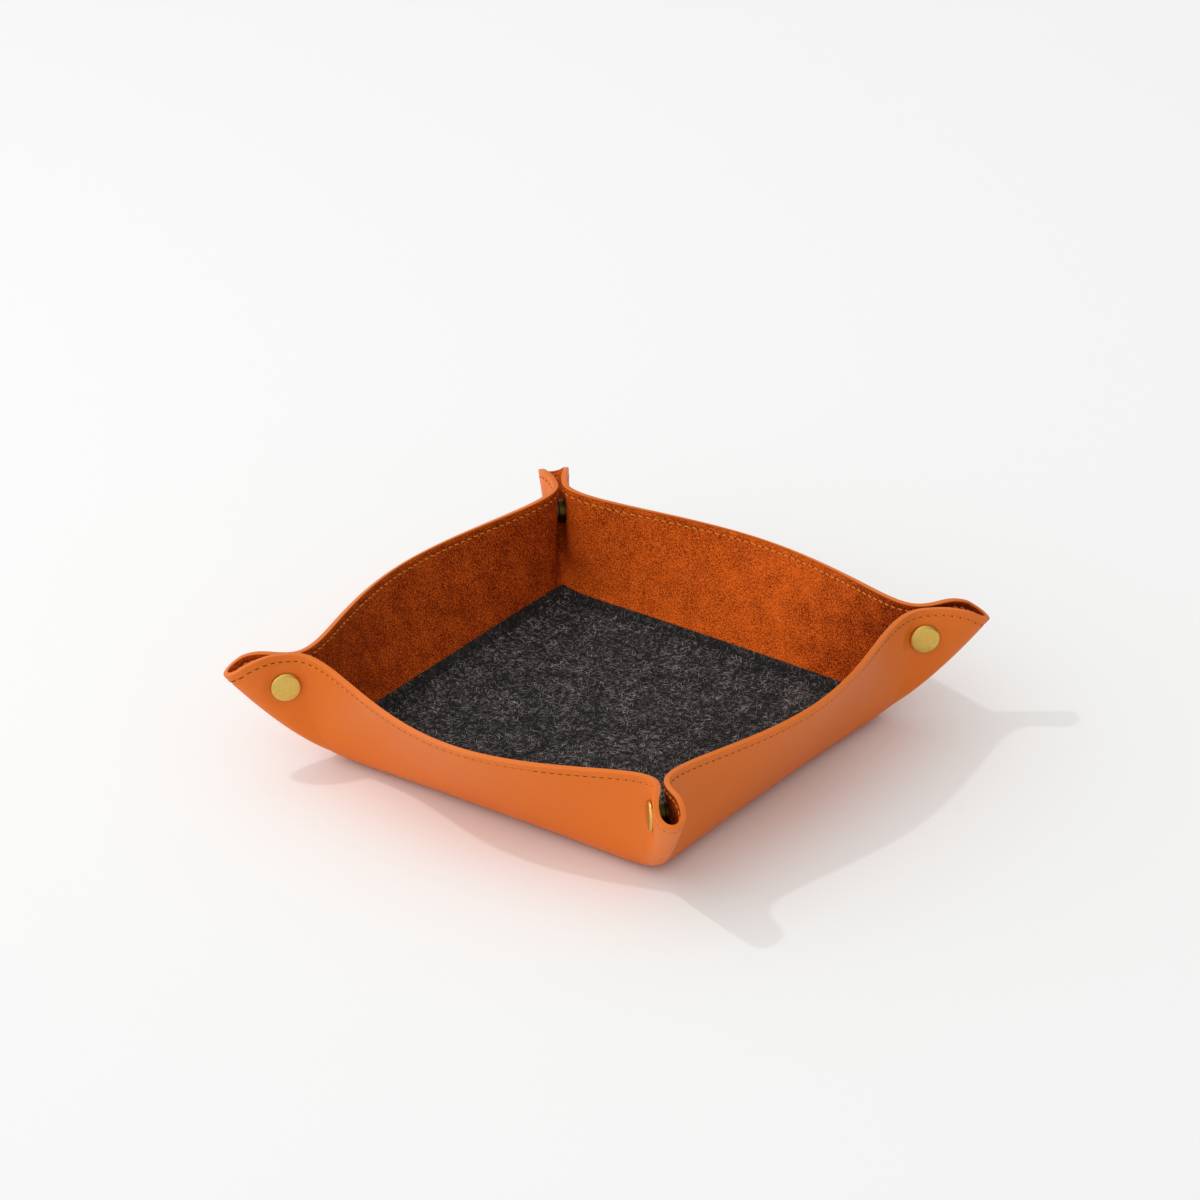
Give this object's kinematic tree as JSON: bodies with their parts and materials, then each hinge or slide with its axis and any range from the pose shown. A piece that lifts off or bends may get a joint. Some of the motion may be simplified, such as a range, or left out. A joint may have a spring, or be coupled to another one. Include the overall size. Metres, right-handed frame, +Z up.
{
  "type": "valet tray",
  "caption": "Square valet tray folded from a lined leather sheet, its corners pinched into ears by brass press snaps, with a felt pad on the base.",
  "frame": {"origin": "middle of the tray's underside, on the table", "axes": "+Z up; -Y out of the front wall, +X out of the right wall; the ears lie on the diagonals"},
  "size_m": [0.229, 0.229, 0.0519],
  "materials": {
    "leather": "smooth full-grain leather, satin",
    "suede": "brushed suede nap",
    "felt": "wool felt, flecked",
    "brass": "aged brushed brass"
  },
  "bodies": {
    "tray": {"leather_shell": "leather", "suede_lining": "suede", "felt_pad": "felt", "stud_front_right": "brass", "stud_cap_front_right": "brass", "stud_back_right": "brass", "stud_cap_back_right": "brass", "stud_back_left": "brass", "stud_cap_back_left": "brass", "stud_front_left": "brass", "stud_cap_front_left": "brass"},
    "snap_front_right": {"socket_cap_front_right": "brass", "socket_front_right": "brass"},
    "snap_back_right": {"socket_cap_back_right": "brass", "socket_back_right": "brass"},
    "snap_back_left": {"socket_cap_back_left": "brass", "socket_back_left": "brass"},
    "snap_front_left": {"socket_cap_front_left": "brass", "socket_front_left": "brass"}
  },
  "joints": [
    {"name": "unsnap_front_right", "type": "hinge", "parent": "tray", "child": "snap_front_right", "pos_m": [0.09313, -0.09313, 0.0164], "axis": [0.5, -0.5, 0.7071], "range_deg": [0, 20], "deforming": ["leather_shell", "suede_lining"]},
    {"name": "unsnap_back_right", "type": "hinge", "parent": "tray", "child": "snap_back_right", "pos_m": [0.09313, 0.09313, 0.0164], "axis": [0.5, 0.5, 0.7071], "range_deg": [0, 20]},
    {"name": "unsnap_back_left", "type": "hinge", "parent": "tray", "child": "snap_back_left", "pos_m": [-0.09313, 0.09313, 0.0164], "axis": [-0.5, 0.5, 0.7071], "range_deg": [0, 20]},
    {"name": "unsnap_front_left", "type": "hinge", "parent": "tray", "child": "snap_front_left", "pos_m": [-0.09313, -0.09313, 0.0164], "axis": [-0.5, -0.5, 0.7071], "range_deg": [0, 20]}
  ]
}
